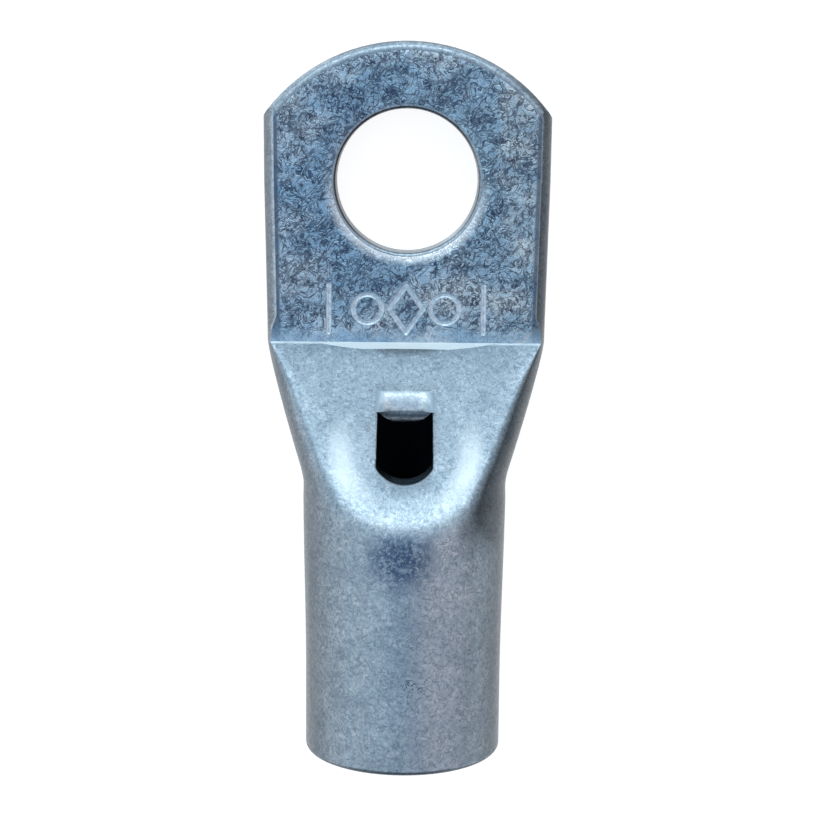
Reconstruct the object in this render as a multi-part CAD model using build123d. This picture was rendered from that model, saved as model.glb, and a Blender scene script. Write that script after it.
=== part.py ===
from build123d import *
from math import atan2, cos, hypot, inf, pi, radians, sin, sqrt, tan
import os

# Tubular compression lug: a copper tube, one end pressed flat into a palm with a stud hole.
# Units are millimetres. The origin is the stud hole's centre on the underside of the palm, +Z is
# the palm's upward normal, and +Y runs towards the rounded tip, so the barrel lies along -Y.

# Tube
barrel_radius = 7.15
wall = 1.75
overall_length = 51.6
bore_depth = 14.6

# Palm, which is the tube pressed shut and so is two walls thick
palm_width_at_crease = 20.66
palm_width_at_hole = 21.16
palm_width_at_tip = 21.30
palm_side_rise = 4.50
side_settling_length = 2.10
hole_to_crease = 11.85
stud_hole_radius = 5.25
tip_radius = 13.0
hole_to_tip = 10.10

# Sheared and punched edges
tip_rollover = 0.70
hole_rollover = 0.28
underside_break = 0.12
seam_depth = 0.14
seam_width = 0.12
barrel_end_round = 0.45
bore_mouth_chamfer = 0.30
window_rollover = 0.20

# Ramp between the palm and the barrel
ramp_angle = 41.3
ramp_crown = 0.18
crown_half_width = 7.0
crease_facet_angle = 50.0
ridge_power = 12.0
crease_power = 20.0
flank_length = 9.50
flank_power = 1.3
flank_tail = 1.1
settling_length = 11.5
barrel_swell = 0.21
swell_fade_length = 14.5
nip_share = 1.6  # the cavity's blind end, as a multiple of the place where its walls would meet

# Sight window punched through the ramp, and the lip turned down beside it
window_width = 3.96
window_end_to_ridge = 3.14
window_end_rise = 0.95
window_corner_radius = 0.30
crease_to_lip = 3.18
lip_overhang = 2.47
lip_radius = 1.50
lip_nose_radius = 2.46

# Stamped index marks
mark_height = 3.50
hole_to_marks = 9.37
mark_pitch = 2.85
mark_stroke_width = 0.42
mark_depth = 0.12
ring_radius = 1.05
diamond_width = 2.50

# Sizes that follow from those above
bore_radius = barrel_radius - wall
palm_thickness = 2 * wall
mid_height = palm_thickness / 2
ramp_slope = tan(radians(ramp_angle))
ramp_length = (2 * barrel_radius - palm_thickness) / ramp_slope
wall_up_ramp = wall / cos(radians(ramp_angle))
outer_quarter = wall_up_ramp / 4
crease_y = -hole_to_crease
barrel_end_y = hole_to_tip - overall_length
bore_start = crease_y - barrel_end_y - bore_depth
cavity_start = nip_share * (wall_up_ramp - wall) / ramp_slope
swell_end = flank_length + swell_fade_length
tip_centre_y = hole_to_tip - tip_radius
mid_wall_radius = (bore_radius + barrel_radius) / 2
half_window = window_width / 2
hole_to_window_end = hole_to_crease + ramp_length - window_end_to_ridge
hole_to_window_corners = hole_to_window_end - window_end_rise
hole_to_lip = hole_to_crease + crease_to_lip
hole_to_lip_nose = hole_to_lip + lip_overhang
stroke_radius = ((mark_stroke_width / 2) ** 2 + mark_depth**2) / (2 * mark_depth)

# A length that takes a cutter clear of the part, a box that starts at its place and reaches
# towards the tip, and how closely two sizes match
past_part = 2 * overall_length
box_ahead = (Align.CENTER, Align.MIN, Align.CENTER)
tolerance = 0.001

# How finely the pressed surfaces follow their formulas
ramp_stations = 28
cavity_stations = 24
settling_stations = 5
station_spread = 1.3
points_per_side = 16
barrel_corner = radians(48)
tangent_step = 1e-5


def ease(share):
    """A rise from 0 to 1 that starts and ends level."""
    share = min(max(share, 0.0), 1.0)
    return share * share * (3 - 2 * share)


def between(start, end, share):
    return start + (end - start) * share


def stations(start, end, count):
    """Distances of a loft's sections before its end, closer together at its start."""
    return [between(start, end, (i / count) ** station_spread) for i in range(count)]


def half_width_at(distance):
    """Half the tube's width at a distance behind the crease."""
    swollen = barrel_radius + barrel_swell
    if distance < flank_length:
        narrowing = (1 - (distance / flank_length) ** flank_power) ** flank_tail
        return between(swollen, palm_width_at_crease / 2, narrowing)
    return between(swollen, barrel_radius, ease((distance - flank_length) / swell_fade_length))


def centre_height_at(distance):
    """Height of a section's widest point."""
    return between(mid_height, barrel_radius, ease(distance / settling_length))


def ramp_height_at(distance):
    """Height of the ramp's plane, which carries on past the barrel's top."""
    return palm_thickness + ramp_slope * distance


def crown_at(distance):
    """Bulge of the ramp's middle above its plane."""
    return ramp_crown * (1 - ease(distance / ramp_length))


def corner_power_at(distance):
    """How crisp the corner between the ramp and a flank is."""
    return ridge_power + crease_power / distance if distance > 0 else inf


def reach(angle, half_width, rise, flat, power):
    """Distance from a section's centre to its outline, an ellipse cut off by a flat."""
    on_ellipse = hypot(cos(angle) / half_width, sin(angle) / rise)
    on_flat = abs(sin(angle)) / flat
    if power == inf:
        return 1 / max(on_ellipse, on_flat)
    return (on_ellipse**power + on_flat**power) ** (-1 / power)


def resting_flat(depth, rise, power):
    """Distance of the flat that leaves a rounded section's lowest point exactly at depth."""
    if power == inf:
        return depth
    left_over = depth**-power - rise**-power
    return left_over ** (-1 / power) if left_over > 0 else inf


def corner_of(half_width, rise, flat, blend):
    """Direction of the corner between the ellipse and the flat, eased to the barrel's."""
    corner = atan2(flat, half_width * sqrt(1 - (flat / rise) ** 2)) if flat < rise else pi / 2
    return between(corner, barrel_corner, blend)


def section(y, half_width, centre, rise, flats, power=inf, blend=0.0, crown=0.0):
    """A closed section across the tube, in four edges that meet at its corners.

    flats are the distances of the upper and the lower flat from the centre.
    """

    def chord_point(angle):
        radius = reach(angle, half_width, rise, flats[sin(angle) < 0], power)
        return radius * cos(angle), radius * sin(angle)

    def outline(start, end, share):
        """The outline's point seen from the centre through a share of the corners' chord."""
        (start_x, start_z), (end_x, end_z) = chord_point(start), chord_point(end)
        x, z = chord_point(atan2(between(start_z, end_z, share), between(start_x, end_x, share)))
        lift = crown * max(0.0, 1 - (x / crown_half_width) ** 2) if z > 0 else 0.0
        return Vector(x, y, centre + z + lift)

    top = corner_of(half_width, rise, flats[0], blend)
    bottom = -corner_of(half_width, rise, flats[1], blend)
    corners = [top, pi - top, pi - bottom, bottom, top]
    shares = [(1 - cos(pi * i / points_per_side)) / 2 for i in range(points_per_side + 1)]
    edges = []
    for start, end in zip(corners, corners[1:]):
        points = [outline(start, end, share) for share in shares]
        leaving = (outline(start, end, tangent_step) - points[0]) / tangent_step
        arriving = (points[-1] - outline(start, end, 1 - tangent_step)) / tangent_step
        edges.append(Edge.make_spline(points, [leaving, arriving], parameters=shares, scale=False))
    return Wire(edges)


def ring(y, radius):
    """A round section on the barrel's axis, in four arcs that meet where its corners would be."""
    corners = [barrel_corner, pi - barrel_corner, pi + barrel_corner, -barrel_corner, barrel_corner]
    middles = [pi / 2, pi, -pi / 2, 0]

    def on_ring(angle):
        return Vector(radius * cos(angle), y, barrel_radius + radius * sin(angle))

    arcs = [
        Edge.make_three_point_arc(on_ring(start), on_ring(middle), on_ring(end))
        for start, middle, end in zip(corners, middles, corners[1:])
    ]
    return Wire(arcs)


def outer_section(distance):
    power = corner_power_at(distance)
    centre = centre_height_at(distance)
    flats = (ramp_height_at(distance) - centre, resting_flat(centre, barrel_radius, power))
    blend = ease(distance / settling_length)
    return section(crease_y - distance, half_width_at(distance), centre, barrel_radius, flats,
                   power, blend, crown_at(distance))


def cavity_section(distance):
    power = corner_power_at(distance)
    centre = centre_height_at(distance)
    ceiling = ramp_height_at(distance) - wall_up_ramp - centre
    flats = (ceiling, resting_flat(centre - wall, bore_radius, power))
    narrowing = ease((distance - flank_length) / (bore_start - flank_length))
    half_width = between(half_width_at(distance) - wall, bore_radius, narrowing)
    blend = ease(distance / settling_length)
    return section(crease_y - distance, half_width, centre, bore_radius, flats, power, blend)


def palm_section(y):
    behind_hole = min(y / crease_y, 1) if y < 0 else 0.0
    ahead_of_hole = y / hole_to_tip if y > 0 else 0.0
    width = between(palm_width_at_hole, palm_width_at_crease, behind_hole)
    width = between(width, palm_width_at_tip, ahead_of_hole)
    rise = between(barrel_radius, palm_side_rise, ease((y - crease_y) / side_settling_length))
    return section(y, width / 2, mid_height, rise, (mid_height, mid_height))


def along_barrel(y):
    """The plane across the barrel at y, facing its open end."""
    return Plane(origin=(0, y, barrel_radius), x_dir=(1, 0, 0), z_dir=(0, -1, 0))


def is_hole_rim(edge):
    """Whether an edge runs round the stud hole."""
    if edge.geom_type != GeomType.CIRCLE:
        return False
    off_centre = hypot(edge.arc_center.X, edge.arc_center.Y)
    return off_centre < tolerance and abs(edge.radius - stud_hole_radius) < tolerance


def on_window_rim(edge):
    """Whether an edge is the window's outer rim, at its sides or its barrel end."""
    middle = edge.center()
    beside = abs(middle.X) < half_window + tolerance
    along = -hole_to_window_end - tolerance < middle.Y < -hole_to_lip - tolerance
    depth = ramp_height_at(-middle.Y - hole_to_crease) - middle.Z
    return beside and along and depth < outer_quarter


def seam_profile(radius, depth):
    """The seam's V, open at a wall of this radius and running deeper by depth."""
    mouth = radius - depth
    return make_face(Polyline((radius + depth, 0), (mouth, seam_width), (mouth, -seam_width), close=True))


def stroke(start, end):
    """The round-nosed punch of one straight stroke, with its ball ends."""
    run = Vector(*end) - Vector(*start)
    shank = extrude(Plane(origin=start, z_dir=run) * Circle(stroke_radius), run.length)
    return shank + Pos(*start) * Sphere(stroke_radius) + Pos(*end) * Sphere(stroke_radius)


# Palm, with its sides settling out of the flanks, and its rounded tip
settled_y = crease_y + side_settling_length
settling_wires = [palm_section(y) for y in stations(crease_y, settled_y, settling_stations)]
palm_wires = [palm_section(y) for y in (settled_y, 0, hole_to_tip + tip_rollover)]
palm = Solid.make_loft(settling_wires + palm_wires[:1]) + Solid.make_loft(palm_wires, ruled=True)
beyond_tip = Box(past_part, past_part, past_part, align=box_ahead)
beyond_tip -= Cylinder(tip_radius, past_part)
palm -= Pos(0, tip_centre_y, 0) * beyond_tip
palm = fillet(palm.edges().filter_by(GeomType.CIRCLE).sort_by(Axis.Z)[-1], tip_rollover)
palm = fillet(palm.edges().filter_by(GeomType.CIRCLE).sort_by(Axis.Z)[0], underside_break)

# Ramp and flanks, running into the barrel
ramp_wires = [outer_section(distance) for distance in stations(0, swell_end, ramp_stations)]
ramp = Solid.make_loft(ramp_wires + [ring(crease_y - swell_end, barrel_radius)])
barrel_length = crease_y - swell_end - barrel_end_y
barrel = extrude(along_barrel(crease_y - swell_end) * Circle(barrel_radius), barrel_length)
barrel = fillet(barrel.edges().filter_by(GeomType.CIRCLE).sort_by(Axis.Y)[0], barrel_end_round)
lug_body = palm + ramp + barrel

# Cavity, which narrows to the nip where the tube is pressed shut
cavity_places = stations(cavity_start, bore_start, cavity_stations)
cavity_wires = [cavity_section(distance) for distance in cavity_places]
cavity = Solid.make_loft(cavity_wires + [ring(crease_y - bore_start, bore_radius)])
bore = extrude(along_barrel(crease_y - bore_start) * Circle(bore_radius), bore_depth)
lug_body -= cavity + bore
end_edges = lug_body.edges().filter_by(GeomType.CIRCLE).group_by(Axis.Y)[0]
lug_body = chamfer(end_edges.filter_by(lambda edge: edge.radius < mid_wall_radius), bore_mouth_chamfer)

# Crease, where the flat die's back edge shaves the crowned ramp
facet_height = 3 * ramp_crown
facet_run = facet_height / tan(radians(crease_facet_angle))
die_profile = Polyline(
    (crease_y, palm_thickness),
    (hole_to_tip, palm_thickness),
    (hole_to_tip, palm_thickness + facet_height),
    (crease_y - facet_run, palm_thickness + facet_height),
    close=True,
)
lug_body -= extrude(Plane.YZ * make_face(die_profile), past_part, both=True)

# Sight window, punched through the ramp into the cavity
window_plan = Polyline(
    (half_window, -hole_to_window_corners),
    (half_window, -hole_to_lip),
    (-half_window, -hole_to_lip),
    (-half_window, -hole_to_window_corners),
)
window_plan += ThreePointArc(window_plan @ 0, (0, -hole_to_window_end), window_plan @ 1)
window_face = make_face(window_plan)
window_face = fillet(window_face.vertices().group_by(Axis.Y)[0], window_corner_radius)
window_floor = (wall + ramp_height_at(crease_to_lip) - wall_up_ramp) / 2
lug_body -= Pos(0, 0, window_floor) * extrude(window_face, past_part)
lug_body = fillet(lug_body.edges().filter_by(on_window_rim), window_rollover)

# Lip, the window's palm end turned down into the cavity
lip_centre_z = ramp_height_at(crease_to_lip) + crown_at(crease_to_lip)
lip_centre_z -= lip_radius * cos(radians(ramp_angle))
lip_centre_y = -hole_to_lip - lip_radius * sin(radians(ramp_angle))
lip = Pos(0, lip_centre_y, lip_centre_z) * Rot(0, 90, 0) * Cylinder(lip_radius, window_width)
lip &= Pos(0, lip_nose_radius - hole_to_lip_nose, 0) * Cylinder(lip_nose_radius, past_part)
lip -= Pos(0, -hole_to_lip, 0) * Box(past_part, past_part, past_part, align=box_ahead)
lug_body += lip

# Stud hole, rolled over at the top by the punch
lug_body -= Cylinder(stud_hole_radius, past_part)
hole_rims = lug_body.edges().filter_by(is_hole_rim).sort_by(Axis.Z)
lug_body = fillet(hole_rims[-1], hole_rollover)
hole_rims = lug_body.edges().filter_by(is_hole_rim).sort_by(Axis.Z)
lug_body = fillet(hole_rims[0], underside_break)

# Seam where the tube's two walls meet, open in the hole's wall and along the tip
hole_seam = revolve(Plane.XZ * seam_profile(stud_hole_radius, seam_depth), Axis.Z)
lug_body -= Pos(0, 0, mid_height) * hole_seam
tip_seam = revolve(Plane.XZ * seam_profile(tip_radius, -seam_depth), Axis.Z)
tip_seam = Pos(0, tip_centre_y, mid_height) * tip_seam
between_folds = Box(palm_width_at_tip - 2 * wall, past_part, past_part, align=box_ahead)
lug_body -= tip_seam & between_folds

# Index marks, stamped in a row between the hole and the crease
bar = stroke((0, -mark_height / 2, 0), (0, mark_height / 2, 0))
diamond_corners = [
    (0, mark_height / 2, 0),
    (diamond_width / 2, 0, 0),
    (0, -mark_height / 2, 0),
    (-diamond_width / 2, 0, 0),
    (0, mark_height / 2, 0),
]
marks = [(0, stroke(start, end)) for start, end in zip(diamond_corners, diamond_corners[1:])]
marks += [(side * mark_pitch, Torus(ring_radius, stroke_radius)) for side in (-1, 1)]
marks += [(side * 2 * mark_pitch, bar) for side in (-1, 1)]
for x, mark in marks:
    lug_body -= Pos(x, -hole_to_marks, palm_thickness + stroke_radius - mark_depth) * mark

os.makedirs("parts", exist_ok=True)
export_step(lug_body, "parts/lug_body.step")
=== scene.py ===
import bmesh
import bpy
from math import radians, sin, sqrt
from mathutils import Euler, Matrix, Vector


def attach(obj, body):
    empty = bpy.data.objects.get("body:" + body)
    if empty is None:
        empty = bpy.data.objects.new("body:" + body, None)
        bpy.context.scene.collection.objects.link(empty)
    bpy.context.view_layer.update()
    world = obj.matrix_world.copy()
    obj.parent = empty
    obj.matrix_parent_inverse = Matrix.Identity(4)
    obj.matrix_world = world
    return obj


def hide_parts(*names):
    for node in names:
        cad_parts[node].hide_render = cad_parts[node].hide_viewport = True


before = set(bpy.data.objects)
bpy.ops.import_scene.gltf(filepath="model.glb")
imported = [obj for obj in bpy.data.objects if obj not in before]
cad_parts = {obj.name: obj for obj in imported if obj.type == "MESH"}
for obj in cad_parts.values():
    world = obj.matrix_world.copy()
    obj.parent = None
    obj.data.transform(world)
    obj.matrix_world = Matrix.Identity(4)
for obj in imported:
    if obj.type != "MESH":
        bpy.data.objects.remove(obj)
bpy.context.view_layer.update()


def srgb(code):
    # "7f8a93" to the linear colour Blender works in
    channels = [int(code[i:i + 2], 16) / 255 for i in (0, 2, 4)]
    return (*[c / 12.92 if c <= 0.04045 else ((c + 0.055) / 1.055) ** 2.4 for c in channels], 1)


def feed(tree, node, sockets):
    # Each socket takes a number, a vector, an sRGB code or another node's output
    for name, value in sockets.items():
        if isinstance(value, bpy.types.NodeSocket):
            tree.links.new(value, node.inputs[name])
        else:
            node.inputs[name].default_value = srgb(value) if isinstance(value, str) else value


def addNode(tree, kind, sockets, **settings):
    node = tree.nodes.new("ShaderNode" + kind)
    for name, value in settings.items():
        setattr(node, name, value)
    feed(tree, node, sockets)
    return node.outputs


# Camera, nearly straight down on the palm
camera = {"place": (0.00028, 0.004475, 0.1408), "tip": -8.82, "roll": 0.53, "lens": 82.25}
cameraData = bpy.data.cameras.new("productCamera")
cameraData.sensor_width = 36
cameraData.lens = camera["lens"]
cameraData.clip_start = 0.005
cameraData.clip_end = 20
cameraObject = bpy.data.objects.new("productCamera", cameraData)
cameraObject.location = camera["place"]
tilt = Euler((radians(camera["tip"]), 0, 0)).to_matrix()
roll = Euler((0, 0, radians(camera["roll"]))).to_matrix()
cameraObject.rotation_euler = (tilt @ roll).to_euler()
bpy.context.scene.collection.objects.link(cameraObject)
bpy.context.scene.camera = cameraObject
bpy.context.scene.view_settings.view_transform = 'Standard'
print("camera set")


# Lug body, the CAD's own surface welded so that it shades smoothly, and where its finishes change, in metres
lugLook = {
    "weld": 1e-6, "sharpAngle": 28, "crease": -0.01185, "palmTop": 0.0035, "facetTilt": 50, "facetReach": 0.001,
    "markReach": 0.0076, "marksFrom": -0.0115, "marksTo": -0.0072, "markFloor": 0.0033,
    "axisHeight": 0.00715, "axisRise": 0.0115, "nip": -0.0126, "mouth": -0.0412,
    "windowReach": 0.00199, "windowEnd": -0.0195, "lipStart": -0.0147, "lipEnd": -0.0171, "lipSide": 0.0023,
}
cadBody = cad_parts["lug_body"]
mesh = cadBody.data.copy()
mesh.name = "lugShell"
mesh.materials.clear()
lug = bpy.data.objects.new("lugShell", mesh)
bpy.context.scene.collection.objects.link(lug)
bm = bmesh.new()
bm.from_mesh(mesh)
bmesh.ops.remove_doubles(bm, verts=bm.verts, dist=lugLook["weld"])
bm.normal_update()
for edge in bm.edges:
    edge.smooth = len(edge.link_faces) == 2 and edge.calc_face_angle(0) < radians(lugLook["sharpAngle"])
tubeFaces, palmFaces, markFaces, boreFaces, creaseFaces = range(5)  # the order of the materials below
facing = bm.verts.layers.float_vector.new("facing")  # which way the surface looks, for its painted shade
for vert in bm.verts:
    byWindow = abs(vert.co.x) < lugLook["lipSide"] and lugLook["windowEnd"] < vert.co.y < lugLook["lipStart"]
    vert[facing] = Vector((0, 0, 1)) if byWindow else vert.normal  # no painted shade from the window's own edges
for face in bm.faces:
    face.smooth = True
    face.material_index = tubeFaces
    middle = face.calc_center_median()
    ahead = middle.y > lugLook["crease"]
    level = abs(face.normal.z) > 0.999
    onPalm = abs(middle.z - lugLook["palmTop"]) < 1e-6 or middle.z < 1e-6
    inMarks = abs(middle.x) < lugLook["markReach"] and lugLook["marksFrom"] < middle.y < lugLook["marksTo"]
    share = min(max((lugLook["crease"] - middle.y) / lugLook["axisRise"], 0), 1)
    axis = Vector((0, middle.y, lugLook["palmTop"] / 2 * (1 - share) + lugLook["axisHeight"] * share))
    inwards = face.normal.dot(middle - axis) < 0
    inWindow = abs(middle.x) < lugLook["windowReach"] and abs(face.normal.z) < 0.1 and middle.z > axis.z
    besideLip = inWindow and middle.y > lugLook["lipEnd"]
    atWindowEnd = inWindow and middle.y < lugLook["windowEnd"] and face.normal.y > 0.3
    nearCrease = middle.y > lugLook["crease"] - lugLook["facetReach"]
    onFacet = abs(face.normal.y - sin(radians(lugLook["facetTilt"]))) < 0.01 and nearCrease
    if ahead and level and onPalm:
        face.material_index = palmFaces
    elif ahead and inMarks and lugLook["markFloor"] < middle.z < lugLook["palmTop"]:
        face.material_index = markFaces
    elif onFacet and not ahead and middle.z > lugLook["palmTop"]:
        face.material_index = creaseFaces
    elif lugLook["mouth"] < middle.y < lugLook["nip"] and inwards and not besideLip and not atWindowEnd:
        face.material_index = boreFaces
bm.to_mesh(mesh)
bm.free()
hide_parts("lug_body")
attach(lug, "root")
print("lug body welded,", len(mesh.polygons), "triangles")


# Tongue over the window, in millimetres: level with the ramp at its sides, bent down over a round between them,
# and sunk into the ramp along its edges
lipLook = {
    "from": -14.60, "to": -16.44, "side": 2.28, "rampY": -14.95, "rampZ": 6.375, "rampSlope": 0.866,
    "crown": 0.18, "crownReach": 7.0, "middle": (-16.03, 5.31), "radius": 1.50,
    "hollowFrom": 2.05, "hollowTo": 0.95, "lift": 0.012, "sink": 0.03, "margin": 0.42, "thickness": 0.25,
    "columns": 40, "rows": 34,
}
lipMesh = bpy.data.meshes.new("lugLip")
bm = bmesh.new()
bmesh.ops.create_grid(bm, x_segments=lipLook["columns"], y_segments=lipLook["rows"], size=0.5)
middleY, middleZ = lipLook["middle"]
for vert in bm.verts:
    x = vert.co.x * 2 * lipLook["side"]
    y = lipLook["from"] + (0.5 - vert.co.y) * (lipLook["to"] - lipLook["from"])
    ramp = lipLook["rampZ"] + (lipLook["rampY"] - y) * lipLook["rampSlope"]
    ramp -= lipLook["crown"] * (x / lipLook["crownReach"]) ** 2
    tongue = min(ramp, middleZ + sqrt(lipLook["radius"] ** 2 - (y - middleY) ** 2))
    share = min(max((abs(x) - lipLook["hollowTo"]) / (lipLook["hollowFrom"] - lipLook["hollowTo"]), 0), 1)
    share = share * share * (3 - 2 * share)
    inside = min(min(lipLook["side"] - abs(x), lipLook["from"] - y) / lipLook["margin"], 1)
    z = tongue + (ramp - tongue) * share - lipLook["sink"] + (lipLook["sink"] + lipLook["lift"]) * inside
    vert.co = Vector((x, y, z)) / 1000
bmesh.ops.solidify(bm, geom=bm.faces[:], thickness=lipLook["thickness"] / 1000)
bmesh.ops.recalc_face_normals(bm, faces=bm.faces[:])
for face in bm.faces:
    face.smooth = True
for edge in bm.edges:
    edge.smooth = edge.calc_face_angle(0) < radians(lugLook["sharpAngle"])
bm.to_mesh(lipMesh)
bm.free()
lip = bpy.data.objects.new("lugLip", lipMesh)
bpy.context.scene.collection.objects.link(lip)
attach(lip, "root")
print("lip made,", len(lipMesh.polygons), "faces")


def inMillimetres(tree, shift=(0, 0, 0), turn=0, size=(1, 1, 1)):
    # Object coordinates in millimetres over size, turned about Z and moved so that no two patterns line up
    sockets = {"Vector": addNode(tree, "TexCoord", {})["Object"], "Location": [s / 1000 for s in shift],
               "Rotation": (0, 0, radians(turn)), "Scale": [s / 1000 for s in size]}
    return addNode(tree, "Mapping", sockets, vector_type='TEXTURE')["Vector"]


def grains(tree, place, size, low, high, detail=2.0, twist=0.0):
    # Noise of that size, 0 below low and 1 above high
    noise = addNode(tree, "TexNoise", {"Vector": place, "Scale": 1 / size, "Detail": detail, "Roughness": 0.6,
                                       "Distortion": twist})["Fac"]
    return addNode(tree, "MapRange", {"Value": noise, "From Min": low, "From Max": high})["Result"]


def wrinkles(tree, place, size, width, detail=3.0, twist=0.8):
    # Thin wandering lines, where noise of that size crosses its middle value
    noise = addNode(tree, "TexNoise", {"Vector": place, "Scale": 1 / size, "Detail": detail, "Roughness": 0.6,
                                       "Distortion": twist})["Fac"]
    off = addNode(tree, "Math", {0: addNode(tree, "Math", {0: noise, 1: 0.5}, operation='SUBTRACT')[0]},
                  operation='ABSOLUTE')[0]
    return addNode(tree, "MapRange", {"Value": off, "From Min": width, "From Max": width * 0.3})["Result"]


def strokes(tree, place, cell, length, width, radius):
    # One short curved scratch in each cell, about its middle and any way round
    cells = addNode(tree, "TexVoronoi", {"Vector": place, "Scale": 1 / cell}, voronoi_dimensions='2D')
    local = addNode(tree, "VectorMath", {0: place, 1: cells["Position"]}, operation='SUBTRACT')[0]
    local = addNode(tree, "VectorMath", {0: local, 1: (1, 1, 0)}, operation='MULTIPLY')[0]
    chance = addNode(tree, "VectorMath", {0: cells["Color"], 1: (0.5, 0.5, 0.5)}, operation='SUBTRACT')[0]
    chance = addNode(tree, "VectorMath", {0: chance, 1: (1, 1, 0)}, operation='MULTIPLY')[0]
    way = addNode(tree, "VectorMath", {0: chance}, operation='NORMALIZE')[0]
    centre = addNode(tree, "VectorMath", {0: way, 1: (radius, radius, radius)}, operation='MULTIPLY')[0]
    away = addNode(tree, "VectorMath", {0: local, 1: centre}, operation='DISTANCE')["Value"]
    off = addNode(tree, "Math", {0: addNode(tree, "Math", {0: away, 1: radius}, operation='SUBTRACT')[0]},
                  operation='ABSOLUTE')[0]
    along = addNode(tree, "VectorMath", {0: local}, operation='LENGTH')["Value"]
    line = addNode(tree, "MapRange", {"Value": off, "From Min": width * 0.5, "From Max": width * 0.2})["Result"]
    ends = addNode(tree, "MapRange", {"Value": along, "From Min": length * 0.5, "From Max": length * 0.3})["Result"]
    return addNode(tree, "Math", {0: line, 1: ends}, operation='MULTIPLY')[0]


def layered(tree, layers):
    # The highest of several patterns, each with its strength, a number or another pattern
    top = 0.0
    for pattern, strength in layers:
        worn = addNode(tree, "Math", {0: pattern, 1: strength}, operation='MULTIPLY')[0]
        top = addNode(tree, "Math", {0: top, 1: worn}, operation='MAXIMUM')[0]
    return top


def painted(tree, ground, coats):
    # Coats over a ground colour, each a share and a colour
    for share, colour in coats:
        ground = addNode(tree, "Mix", {0: share, 6: ground, 7: colour}, data_type='RGBA')[2]
    return ground


def newMetal(name):
    metal = bpy.data.materials.new(name)
    metal.use_nodes = True
    shader = metal.node_tree.nodes["Principled BSDF"]
    shader.inputs["Metallic"].default_value = 1
    return metal, metal.node_tree, shader


# Tin plating on the drawn tube: satin and grainy, with small scuffs all over from loose handling. Sizes in mm.
# The real grain, taken as some 0.02 mm across, is too fine to show, so it is drawn ten times as coarse
# Besides its grain and scuffs, the tube carries painted shade, painted highlights and a painted ceiling reflection, set
# below
tubeLook = {
    "light": "bfd0dc", "ground": "a8bac7", "dark": "8596a6", "scuff": "5c6f84", "shine": "dfeaf1",
    "lightShare": 0.6, "darkShare": 0.55, "shineShare": 0.48, "scuffShare": 0.46, "pitShare": 0.6,
    "awayFromTipShade": "f6f3f2", "ceilingReflection": "3d5677", "crease": "e4f2f9", "shoulderHighlight": "e9f3f8",
    "cloudSize": 3.0, "grainSize": 0.24, "clusterSize": 1.1, "pitSize": 0.42, "blotSize": 0.45,
    "lightLines": (0.55, 0.040), "darkLines": (0.72, 0.034), "blotLines": (0.7, 0.05),  # size and width
    "roughness": 0.33, "relief": 0.000003, "greyFrom": 0.55, "greyTo": 0.2,
    "leftShade": 0.33, "rightShade": 0.25, "rightFlankShade": 0.17, "sideFrom": 0.55, "sideTo": 0.93,
    "flankSideFrom": 0.24, "flankSideTo": 0.62,
    "tipEdge": (0.72, 0.86, 0.5), "cableEdge": (-0.2, -0.5, 0.22),  # facing Y from and to, and the tone there
    "flankFrom": -26.0, "flankTo": -22.5, "ceilingReflectionPlace": (-0.3, -25.9, 14.3), "ceilingReflectionSize": (3.0, 2.5, 3.0),
    "shoulderPlace": (0.1, -18.4, 12), "shoulderSize": (4.75, 4.85, 5), "shoulderHighlightShare": 0.62,
    "shoulderInside": (0.74, 0.92), "shoulderOutside": (1.22, 1.05),
    "shoulderFrom": -16.5, "shoulderTo": -19.0, "shoulderFadeFrom": -20.5, "shoulderFadeTo": -22.6,
    "scuffPlace": (1.0, -34.8, 14.2), "scuffSize": (1.7, 0.6, 2.0),
    "footFrom": 0.18, "footTo": 0.08, "creaseHighlightShare": 0.9, "ceilingReflectionShare": 0.9,
}
tin, tree, shader = newMetal("tinPlatingDrawnTube")
place = inMillimetres(tree)
where = addNode(tree, "SeparateXYZ", {"Vector": place})
facing = addNode(tree, "SeparateXYZ", {"Vector": addNode(tree, "Attribute", {}, attribute_name="facing")["Vector"]})
cloud = grains(tree, place, tubeLook["cloudSize"], 0.38, 0.62, 2.0)
grain = grains(tree, inMillimetres(tree, (31, 7, 3)), tubeLook["grainSize"], 0.38, 0.62, 3.0, 0.6)
clusters = grains(tree, inMillimetres(tree, (9, 4, 77)), tubeLook["clusterSize"], 0.44, 0.58, 2.0)
lightLines = wrinkles(tree, inMillimetres(tree, (13, 57, 21)), *tubeLook["lightLines"])
darkLines = wrinkles(tree, inMillimetres(tree, (71, 17, 41)), *tubeLook["darkLines"])
away = addNode(tree, "VectorMath", {0: inMillimetres(tree, tubeLook["scuffPlace"], size=tubeLook["scuffSize"])},
               operation='LENGTH')["Value"]
scuffed = addNode(tree, "MapRange", {"Value": away, "From Min": 1.0, "From Max": 0.6,
                                     "To Min": tubeLook["scuffShare"], "To Max": 1.0})["Result"]
pits = grains(tree, inMillimetres(tree, (7, 3, 61)), tubeLook["pitSize"], 0.66, 0.74, 2.0, 0.8)
shining = addNode(tree, "Math", {0: clusters, 1: tubeLook["shineShare"]}, operation='MULTIPLY')[0]
ground = painted(tree, tubeLook["ground"], [
    (addNode(tree, "Math", {0: cloud, 1: tubeLook["lightShare"]}, operation='MULTIPLY')[0], tubeLook["light"]),
    (addNode(tree, "Math", {0: grain, 1: tubeLook["darkShare"]}, operation='MULTIPLY')[0], tubeLook["dark"]),
    (layered(tree, [(lightLines, shining)]), tubeLook["shine"]),
    (layered(tree, [(darkLines, scuffed), (pits, tubeLook["pitShare"])]), tubeLook["scuff"]),
])
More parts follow.
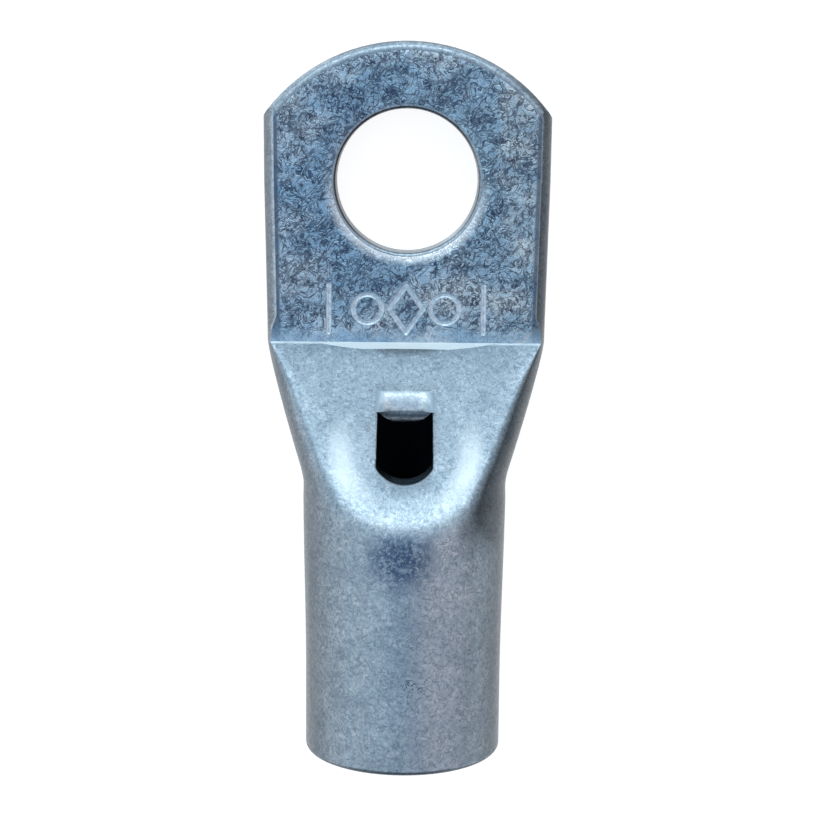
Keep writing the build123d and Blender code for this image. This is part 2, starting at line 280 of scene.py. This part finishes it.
# Painted shade: away from the ramp and the rolled edges, which face the tip, the tin is drawn a little greyer
awayFromTip = addNode(tree, "MapRange", {"Value": facing["Y"], "From Min": tubeLook["greyFrom"],
                                  "From Max": tubeLook["greyTo"]})["Result"]
ground = addNode(tree, "Mix", {0: awayFromTip, 6: ground, 7: tubeLook["awayFromTipShade"]}, data_type='RGBA',
                 blend_type='MULTIPLY')[2]
# Painted reflection of the dark ceiling on the barrel's top, behind the ramp's ridge, mottled like the palm
ceilingReflectionPlace = inMillimetres(tree, tubeLook["ceilingReflectionPlace"], size=tubeLook["ceilingReflectionSize"])
away = addNode(tree, "VectorMath", {0: ceilingReflectionPlace}, operation='LENGTH')["Value"]
ceilingReflection = addNode(tree, "MapRange", {"Value": away, "From Min": 1.0, "From Max": 0.4})["Result"]
blots = grains(tree, inMillimetres(tree, (2, 6, 11)), tubeLook["blotSize"], 0.42, 0.56, 4.0, 1.2)
blotLines = wrinkles(tree, inMillimetres(tree, (4, 1, 8)), *tubeLook["blotLines"])
blots = layered(tree, [(blots, 0.9), (blotLines, 1.0)])
# The mottled mask of this painted ceiling reflection
rubbed = addNode(tree, "Math", {0: ceilingReflection, 1: blots}, operation='MULTIPLY')[0]
# Painted highlight on the shoulder where the ramp turns up into the tube, a U about the window that fades towards its
# foot
shoulderPlace = inMillimetres(tree, tubeLook["shoulderPlace"], size=tubeLook["shoulderSize"])
out = addNode(tree, "VectorMath", {0: shoulderPlace, 1: (1, 1, 0)}, operation='MULTIPLY')[0]
out = addNode(tree, "VectorMath", {0: out}, operation='LENGTH')["Value"]
start, full = tubeLook["shoulderInside"]
shoulderHighlight = addNode(tree, "MapRange", {"Value": out, "From Min": start, "From Max": full})["Result"]
end, full = tubeLook["shoulderOutside"]
outside = addNode(tree, "MapRange", {"Value": out, "From Min": end, "From Max": full})["Result"]
below = addNode(tree, "MapRange", {"Value": where["Y"], "From Min": tubeLook["shoulderFrom"],
                                   "From Max": tubeLook["shoulderTo"]})["Result"]
beside = addNode(tree, "MapRange", {"Value": where["Y"], "From Min": tubeLook["shoulderFadeFrom"],
                                    "From Max": tubeLook["shoulderFadeTo"], "To Min": 1.0, "To Max": 0.2})["Result"]
shoulderHighlight = layered(tree, [(shoulderHighlight, layered(tree, [(outside, layered(tree, [(below, beside)]))]))])
# Painted highlight: a bright line just under the crease, where a small round would catch the light
crease, palmTop = lugLook["crease"] * 1000, lugLook["palmTop"] * 1000
creaseHighlight = addNode(tree, "MapRange", {"Value": where["Y"], "From Min": crease - tubeLook["footFrom"],
                                  "From Max": crease - tubeLook["footTo"]})["Result"]
ramped = addNode(tree, "MapRange", {"Value": where["Z"], "From Min": palmTop - 0.05, "From Max": palmTop})["Result"]
behind = addNode(tree, "MapRange", {"Value": where["Y"], "From Min": crease + 0.05,
                                    "From Max": crease + 0.04})["Result"]
creaseHighlight = layered(tree, [(creaseHighlight, layered(tree, [(ramped, behind)]))])
# Painted ceiling reflection, painted highlight on the shoulder and painted highlight under the crease, over the tin
ground = painted(tree, ground, [
    (layered(tree, [(rubbed, tubeLook["ceilingReflectionShare"])]), tubeLook["ceilingReflection"]),
    (layered(tree, [(shoulderHighlight, tubeLook["shoulderHighlightShare"])]), tubeLook["shoulderHighlight"]),
    (layered(tree, [(creaseHighlight, tubeLook["creaseHighlightShare"])]), tubeLook["crease"]),
])
# Painted shade: the sides are drawn darker than the top, and the hollow flank on the right darkest of all
onFlank = addNode(tree, "MapRange", {"Value": where["Y"], "From Min": tubeLook["flankFrom"],
                                     "From Max": tubeLook["flankTo"]})["Result"]
rightShadeTone = addNode(tree, "MapRange", {"Value": onFlank, "To Min": tubeLook["rightShade"],
                                       "To Max": tubeLook["rightFlankShade"]})["Result"]
sideShadeTone = addNode(tree, "MapRange", {"Value": facing["X"], "From Min": -0.2, "From Max": 0.2,
                                      "To Min": tubeLook["leftShade"], "To Max": rightShadeTone})["Result"]
sideways = addNode(tree, "Math", {0: facing["X"]}, operation='ABSOLUTE')[0]
onRight = addNode(tree, "MapRange", {"Value": facing["X"], "From Min": 0.0, "From Max": 0.2})["Result"]
onFlank = layered(tree, [(onFlank, onRight)])
sideFrom = addNode(tree, "MapRange", {"Value": onFlank, "To Min": tubeLook["sideFrom"],
                                      "To Max": tubeLook["flankSideFrom"]})["Result"]
sideTo = addNode(tree, "MapRange", {"Value": onFlank, "To Min": tubeLook["sideTo"],
                                    "To Max": tubeLook["flankSideTo"]})["Result"]
shadeTone = addNode(tree, "MapRange", {"Value": sideways, "From Min": sideFrom, "From Max": sideTo, "To Min": 1.0,
                                  "To Max": sideShadeTone})["Result"]
# Painted shade: edges that face the tip or the cable end squarely are drawn darker
for edgeFrom, edgeTo, edgeShade in (tubeLook["tipEdge"], tubeLook["cableEdge"]):
    edge = addNode(tree, "MapRange", {"Value": facing["Y"], "From Min": edgeFrom, "From Max": edgeTo,
                                      "To Min": 1.0, "To Max": edgeShade})["Result"]
    shadeTone = addNode(tree, "Math", {0: shadeTone, 1: edge}, operation='MULTIPLY')[0]
shadeColour = addNode(tree, "CombineColor", {"Red": shadeTone, "Green": shadeTone, "Blue": shadeTone})[0]
ground = addNode(tree, "Mix", {0: 1.0, 6: ground, 7: shadeColour}, data_type='RGBA', blend_type='MULTIPLY')[2]
rough = addNode(tree, "MapRange", {"Value": grain, "To Min": tubeLook["roughness"] - 0.03,
                                   "To Max": tubeLook["roughness"] + 0.05})["Result"]
dents = layered(tree, [(lightLines, 0.7), (darkLines, 0.9)])
height = addNode(tree, "Math", {0: addNode(tree, "Math", {0: grain, 1: 0.4}, operation='MULTIPLY')[0], 1: dents},
                 operation='SUBTRACT')[0]
bump = addNode(tree, "Bump", {"Height": height, "Distance": tubeLook["relief"], "Strength": 1.0})["Normal"]
feed(tree, shader, {"Base Color": ground, "Roughness": rough, "Normal": bump})

# Tin plating under the flat die: pressed smooth, then wrinkled and scratched on its high face, so it mirrors the dark
# ceiling.
# Its wrinkles, flecks and scratches are real, and their dark navy is painted reflection of that ceiling. The wrinkles,
# taken as a tenth of a millimetre wide, are drawn somewhat wider so that they show
palmLook = {
    "light": "ffffff", "ground": "c4d9e9", "dark": "0a1d40", "left": "def0fb", "right": "f0fcff", "rim": "f4faff",
    "cloudSize": 3.6, "clusterSize": 1.9, "knotSize": 0.9, "crumpleSize": 0.50,
    "wideWrinkles": (1.15, 0.048), "fineWrinkles": (0.60, 0.075),  # size and width
    "fleckSize": (0.55, 0.24, 1), "risingTurn": 52, "flatTurn": -8,
    "longStrokes": (1.7, 1.5, 0.12, 1.6), "hairlines": (6.5, 7.0, 0.12, 9.0),  # cell, length, width and radius
    "wideShare": 0.90, "strokeShare": 0.75, "hairlineShare": 0.8, "clusterShare": 0.25, "seamShare": 0.8,
    "roughness": 0.25, "relief": 0.000030, "calmFrom": -11.8, "calmTo": -10.6, "tipMiddle": -2.9,
    "rimFrom": 6.5, "rimTo": 5.3, "rimDepth": 0.00030, "crumple": 0.000036,
    "tipRimFrom": 11.85, "tipRimTo": 12.45, "tipRimDepth": 0.00008, "seamFrom": 9.30, "seamTo": 9.50,
    "seamTaper": -0.0145, "calmShare": 0.2, "wornShare": 0.88, "washerFrom": 8.4, "washerTo": 6.0, "washerShare": 0.8,
    "tintFrom": -5.0, "tintTo": 8.0, "glintFrom": 6.25, "glintTo": 5.55, "glintHigh": 0.5, "glintLow": -3.0,
    "glintShare": 0.8,
}
palm, tree, shader = newMetal("tinPlatingPressedPalm")
place = inMillimetres(tree)
where = addNode(tree, "SeparateXYZ", {"Vector": place})
cloud = grains(tree, inMillimetres(tree, (1, 5, 0)), palmLook["cloudSize"], 0.38, 0.64, 2.0)
clusters = grains(tree, inMillimetres(tree, (5, 91, 3)), palmLook["clusterSize"], 0.36, 0.60, 3.0)
knots = grains(tree, inMillimetres(tree, (2, 61, 3)), palmLook["knotSize"], 0.42, 0.58, 2.0)
wideWrinkles = wrinkles(tree, inMillimetres(tree, (3, 7, 0)), *palmLook["wideWrinkles"], 3.0, 1.2)
fineWrinkles = wrinkles(tree, inMillimetres(tree, (19, 44, 0)), *palmLook["fineWrinkles"])
risingPlace = inMillimetres(tree, (47, 3, 0), palmLook["risingTurn"], palmLook["fleckSize"])
rising = grains(tree, risingPlace, 1.0, 0.49, 0.58, 3.0, 0.8)
flatPlace = inMillimetres(tree, (17, 33, 0), palmLook["flatTurn"], palmLook["fleckSize"])
flat = grains(tree, flatPlace, 1.0, 0.51, 0.60, 3.0, 0.8)
hairlines = strokes(tree, inMillimetres(tree, (11, 2, 0)), *palmLook["hairlines"])
longStrokes = strokes(tree, inMillimetres(tree, (3, 37, 0)), *palmLook["longStrokes"])
flecks = layered(tree, [(rising, 0.9), (flat, 0.8)])
# The die left a dark line along both sides
aside = addNode(tree, "Math", {0: where["X"]}, operation='ABSOLUTE')[0]
aside = addNode(tree, "Math", {0: where["Y"], 1: palmLook["seamTaper"], 2: aside}, operation='MULTIPLY_ADD')[0]
seam = addNode(tree, "MapRange", {"Value": aside, "From Min": palmLook["seamFrom"],
                                  "From Max": palmLook["seamTo"]})["Result"]
share = addNode(tree, "MapRange", {"Value": clusters, "To Min": 0.3, "To Max": 1.0})["Result"]
darkness = layered(tree, [
    (flecks, share), (wideWrinkles, palmLook["wideShare"]), (fineWrinkles, knots),
    (longStrokes, palmLook["strokeShare"]), (hairlines, palmLook["hairlineShare"]),
    (clusters, palmLook["clusterShare"]), (seam, palmLook["seamShare"]),
])
calm = addNode(tree, "MapRange", {"Value": where["Y"], "From Min": palmLook["calmFrom"], "From Max": palmLook["calmTo"],
                                  "To Min": palmLook["calmShare"], "To Max": palmLook["wornShare"]})["Result"]
darkness = addNode(tree, "Math", {0: darkness, 1: calm}, operation='MULTIPLY')[0]
# Rubbed darker round the hole, where washers go, and rolled in at its very rim, with a painted highlight on the rim's
# barrel side
level = addNode(tree, "VectorMath", {0: place, 1: (1, 1, 0)}, operation='MULTIPLY')[0]
out = addNode(tree, "VectorMath", {0: level}, operation='LENGTH')["Value"]
rubbed = addNode(tree, "MapRange", {"Value": out, "From Min": palmLook["washerFrom"], "From Max": palmLook["washerTo"],
                                    "To Max": palmLook["washerShare"]})["Result"]
cloud = addNode(tree, "Math", {0: cloud, 1: rubbed}, operation='SUBTRACT', use_clamp=True)[0]
tint = addNode(tree, "MapRange", {"Value": where["X"], "From Min": palmLook["tintFrom"],
                                  "From Max": palmLook["tintTo"]})["Result"]
tint = painted(tree, palmLook["left"], [(tint, palmLook["right"])])
# Painted reflection: the marks take the dark navy of the ceiling
ground = painted(tree, palmLook["ground"], [(cloud, palmLook["light"]), (darkness, palmLook["dark"])])
ground = addNode(tree, "Mix", {0: 1.0, 6: ground, 7: tint}, data_type='RGBA', blend_type='MULTIPLY')[2]
# Painted highlight on the hole's rim, on the barrel's side only
rimGlint = addNode(tree, "MapRange", {"Value": out, "From Min": palmLook["glintFrom"],
                                       "From Max": palmLook["glintTo"]})["Result"]
low = addNode(tree, "MapRange", {"Value": where["Y"], "From Min": palmLook["glintHigh"],
                                 "From Max": palmLook["glintLow"], "To Max": palmLook["glintShare"]})["Result"]
ground = painted(tree, ground, [(layered(tree, [(rimGlint, low)]), palmLook["rim"])])
rough = addNode(tree, "MapRange", {"Value": darkness, "To Min": palmLook["roughness"] - 0.04,
                                   "To Max": palmLook["roughness"] + 0.1})["Result"]
rim = addNode(tree, "MapRange", {"Value": out, "From Min": palmLook["rimFrom"],
                                 "From Max": palmLook["rimTo"]})["Result"]
rim = addNode(tree, "Math", {0: rim, 1: 2.0}, operation='POWER')[0]
rolled = addNode(tree, "Bump", {"Height": rim, "Distance": palmLook["rimDepth"], "Strength": 1.0},
                 invert=True)["Normal"]
fromTip = addNode(tree, "VectorMath", {0: level, 1: (0, palmLook["tipMiddle"], 0)}, operation='DISTANCE')["Value"]
tipRim = addNode(tree, "MapRange", {"Value": fromTip, "From Min": palmLook["tipRimFrom"],
                                    "From Max": palmLook["tipRimTo"]})["Result"]
tipRim = addNode(tree, "Math", {0: tipRim, 1: 2.0}, operation='POWER')[0]
rolled = addNode(tree, "Bump", {"Height": tipRim, "Distance": palmLook["tipRimDepth"], "Strength": 1.0,
                                "Normal": rolled}, invert=True)["Normal"]
crumpled = grains(tree, inMillimetres(tree, (12, 9, 0)), palmLook["crumpleSize"], 0.25, 0.75, 3.0, 0.6)
crumpled = addNode(tree, "Bump", {"Height": crumpled, "Distance": palmLook["crumple"], "Strength": 1.0,
                                  "Normal": rolled})["Normal"]
bump = addNode(tree, "Bump", {"Height": darkness, "Distance": palmLook["relief"], "Strength": 1.0, "Normal": crumpled},
               invert=True)["Normal"]
feed(tree, shader, {"Base Color": ground, "Roughness": rough, "Normal": bump})

# Fresh tin in the stamped marks, burnished by the punch and scuffed a little since
markLook = {"colour": "dceaf3", "scuff": "8fa6b8", "scuffShare": 0.6, "size": 0.3, "roughness": 0.3,
            "relief": 0.000004}
stamped, tree, shader = newMetal("tinPlatingStamped")
scuffs = grains(tree, inMillimetres(tree, (6, 1, 0)), markLook["size"], 0.40, 0.62, 3.0, 0.5)
worn = layered(tree, [(scuffs, markLook["scuffShare"])])
ground = painted(tree, markLook["colour"], [(worn, markLook["scuff"])])
rough = addNode(tree, "MapRange", {"Value": scuffs, "To Min": markLook["roughness"],
                                   "To Max": markLook["roughness"] + 0.1})["Result"]
bump = addNode(tree, "Bump", {"Height": scuffs, "Distance": markLook["relief"], "Strength": 1.0})["Normal"]
feed(tree, shader, {"Base Color": ground, "Roughness": rough, "Normal": bump})

# The crease's narrow facet, painted near-white as a highlight
creaseHighlightLook = {"colour": "f4fcff", "scuff": "f0f8fd", "scuffShare": 0.6, "size": 0.3, "roughness": 0.34,
              "relief": 0.000004}
creaseHighlightTin, tree, shader = newMetal("tinPlatingCreaseHighlight")
scuffs = grains(tree, inMillimetres(tree), creaseHighlightLook["size"], 0.35, 0.65, 3.0)
worn = layered(tree, [(scuffs, creaseHighlightLook["scuffShare"])])
ground = painted(tree, creaseHighlightLook["colour"], [(worn, creaseHighlightLook["scuff"])])
rough = addNode(tree, "MapRange", {"Value": scuffs, "To Min": creaseHighlightLook["roughness"],
                                   "To Max": creaseHighlightLook["roughness"] + 0.08})["Result"]
bump = addNode(tree, "Bump", {"Height": scuffs, "Distance": creaseHighlightLook["relief"], "Strength": 1.0})["Normal"]
feed(tree, shader, {"Base Color": ground, "Roughness": rough, "Normal": bump})

# The lip over the window, its middle painted bright as a highlight, with the punch's own small scores
lipHighlightLook = {
    "colour": "e8f3fa", "dent": "b0c5d3", "edge": "95a8b7", "edgeFrom": 1.25, "edgeTo": 2.0,
    "topFrom": -15.25, "topTo": -15.02, "roughness": 0.38, "relief": 0.000006,
}
highlightedLipTin, tree, shader = newMetal("tinPlatingLipHighlight")
place = inMillimetres(tree)
dents = layered(tree, [(grains(tree, place, 0.30, 0.44, 0.64, 3.0, 0.8), 0.6),
                       (wrinkles(tree, inMillimetres(tree, (5, 5, 2)), 0.6, 0.05), 0.7)])
where = addNode(tree, "SeparateXYZ", {"Vector": place})
aside = addNode(tree, "Math", {0: where["X"]}, operation='ABSOLUTE')[0]
edge = addNode(tree, "MapRange", {"Value": aside, "From Min": lipHighlightLook["edgeFrom"],
                                  "From Max": lipHighlightLook["edgeTo"]})["Result"]
top = addNode(tree, "MapRange", {"Value": where["Y"], "From Min": lipHighlightLook["topFrom"],
                                 "From Max": lipHighlightLook["topTo"]})["Result"]
edge = layered(tree, [(edge, 1.0), (top, 1.0)])  # the painted highlight fades into the ramp's tin here
ground = painted(tree, lipHighlightLook["colour"], [(dents, lipHighlightLook["dent"]), (edge, lipHighlightLook["edge"])])
rough = addNode(tree, "MapRange", {"Value": dents, "To Min": lipHighlightLook["roughness"],
                                   "To Max": lipHighlightLook["roughness"] + 0.1})["Result"]
bump = addNode(tree, "Bump", {"Height": dents, "Distance": lipHighlightLook["relief"], "Strength": 1.0}, invert=True)["Normal"]
feed(tree, shader, {"Base Color": ground, "Roughness": rough, "Normal": bump})
lipMesh.materials.append(highlightedLipTin)

# Inside the tube: tin at its mouth, and painted shade further in, dark where little light reaches
boreLook = {"deepShade": "14181d", "mouth": "8c98a3", "deepFrom": -31.0, "mouthAt": -39.0, "streakSize": (0.5, 4, 0.5),
            "streakShare": 0.3, "roughness": 0.4, "relief": 0.00001}
shadedBore, tree, shader = newMetal("tinPlatingBoreShade")
where = addNode(tree, "SeparateXYZ", {"Vector": inMillimetres(tree)})
outwards = addNode(tree, "MapRange", {"Value": where["Y"], "From Min": boreLook["deepFrom"],
                                      "From Max": boreLook["mouthAt"]})["Result"]
streaks = grains(tree, inMillimetres(tree, (3, 8, 2), size=boreLook["streakSize"]), 1.0, 0.3, 0.7, 3.0)
shadeStreaks = layered(tree, [(streaks, boreLook["streakShare"])])
ground = painted(tree, boreLook["deepShade"], [(outwards, boreLook["mouth"]), (shadeStreaks, boreLook["deepShade"])])
rough = addNode(tree, "MapRange", {"Value": streaks, "To Min": boreLook["roughness"],
                                   "To Max": boreLook["roughness"] + 0.2})["Result"]
bump = addNode(tree, "Bump", {"Height": streaks, "Distance": boreLook["relief"], "Strength": 1.0})["Normal"]
feed(tree, shader, {"Base Color": ground, "Roughness": rough, "Normal": bump})

for metal in (tin, palm, stamped, shadedBore, creaseHighlightTin):
    mesh.materials.append(metal)
print("tin platings made")


# Pale sheet that the lug lies on, white where it is seen or mirrored, with the lug's soft shadow
sheet = {"size": 3.0, "colour": "a2a4a6", "lift": 0.86}
floorMesh = bpy.data.meshes.new("floor")
bm = bmesh.new()
bmesh.ops.create_grid(bm, x_segments=1, y_segments=1, size=sheet["size"])
bm.to_mesh(floorMesh)
bm.free()
floor = bpy.data.objects.new("floor", floorMesh)
paper = bpy.data.materials.new("matPaper")
paper.use_nodes = True
tree = paper.node_tree
ray = addNode(tree, "LightPath", {})
seen = layered(tree, [(ray[name], sheet["lift"]) for name in ("Is Camera Ray", "Is Glossy Ray", "Is Transmission Ray")])
feed(tree, tree.nodes["Principled BSDF"], {"Base Color": sheet["colour"], "Roughness": 0.9,
                                           "Emission Color": "ffffff", "Emission Strength": seen})
floorMesh.materials.append(paper)
bpy.context.scene.collection.objects.link(floor)

# One long softbox beyond the tip, for the bright U where the ramp turns up into the tube
tipSoftbox = {"place": (-0.04, 0.42, 0.27), "size": (0.64, 0.14), "power": 0.62, "colour": "eef9ff"}
light = bpy.data.lights.new("tipSoftbox", 'AREA')
light.shape = 'RECTANGLE'
light.size, light.size_y = tipSoftbox["size"]
light.energy = tipSoftbox["power"]
light.color = srgb(tipSoftbox["colour"])[:3]
lamp = bpy.data.objects.new("tipSoftbox", light)
lamp.location = tipSoftbox["place"]
lamp.rotation_euler = (-Vector(tipSoftbox["place"])).to_track_quat('-Z', 'Y').to_euler()
bpy.context.scene.collection.objects.link(lamp)

# Room by height of the wall, from the horizon to the ceiling: blue on the left, mauve on the right, bright beyond
# the tip and dim beyond the barrel
room = {
    "left": ((0.0, "eef4fb"), (0.60, "eaf7ff"), (0.93, "dcebf8"), (0.992, "8faac4")),
    "right": ((0.0, "c8c4c8"), (0.35, "d8d4d8"), (0.70, "f0eaee"), (0.88, "ddd6dc"), (0.992, "8faac4")),
    "tip": ((0.0, "d8eaf4"), (0.12, "d0e3ee"), (0.24, "8a9eab"), (0.35, "95a9b6"), (0.44, "e2f2fa"),
            (0.62, "f8fdff"), (0.74, "f4fcff"), (0.88, "c4e4fc"), (0.995, "8faac4")),
    "barrel": ((0.0, "6f7c8e"), (0.5, "7f8c9e"), (0.85, "c4d0dc"), (0.992, "8faac4")),
    "turnsAt": {"right": ("X", 0.0, 0.30), "tip": ("Y", 0.12, 0.6), "barrel": ("Y", -0.33, -0.8)}, "strength": 1.0,
}
world = bpy.data.worlds.new("studioRoom")
world.use_nodes = True
bpy.context.scene.world = world
tree = world.node_tree
ways = addNode(tree, "SeparateXYZ", {"Vector": addNode(tree, "TexCoord", {})["Generated"]})
lit = None
for side in ("left", "right", "tip", "barrel"):
    wall = tree.nodes.new("ShaderNodeValToRGB")
    tree.links.new(ways["Z"], wall.inputs["Fac"])
    stops = wall.color_ramp.elements
    for index, (position, colour) in enumerate(room[side]):
        stop = stops[index] if index < 1 else stops.new(position)
        stop.position, stop.color = position, srgb(colour)
    stops.remove(stops[-1])
    if lit is None:
        lit = wall.outputs["Color"]
    else:
        axis, start, end = room["turnsAt"][side]
        turning = addNode(tree, "MapRange", {"Value": ways[axis], "From Min": start, "From Max": end})["Result"]
        lit = painted(tree, lit, [(turning, wall.outputs["Color"])])
feed(tree, tree.nodes["Background"], {"Color": lit, "Strength": room["strength"]})
print("studio set")
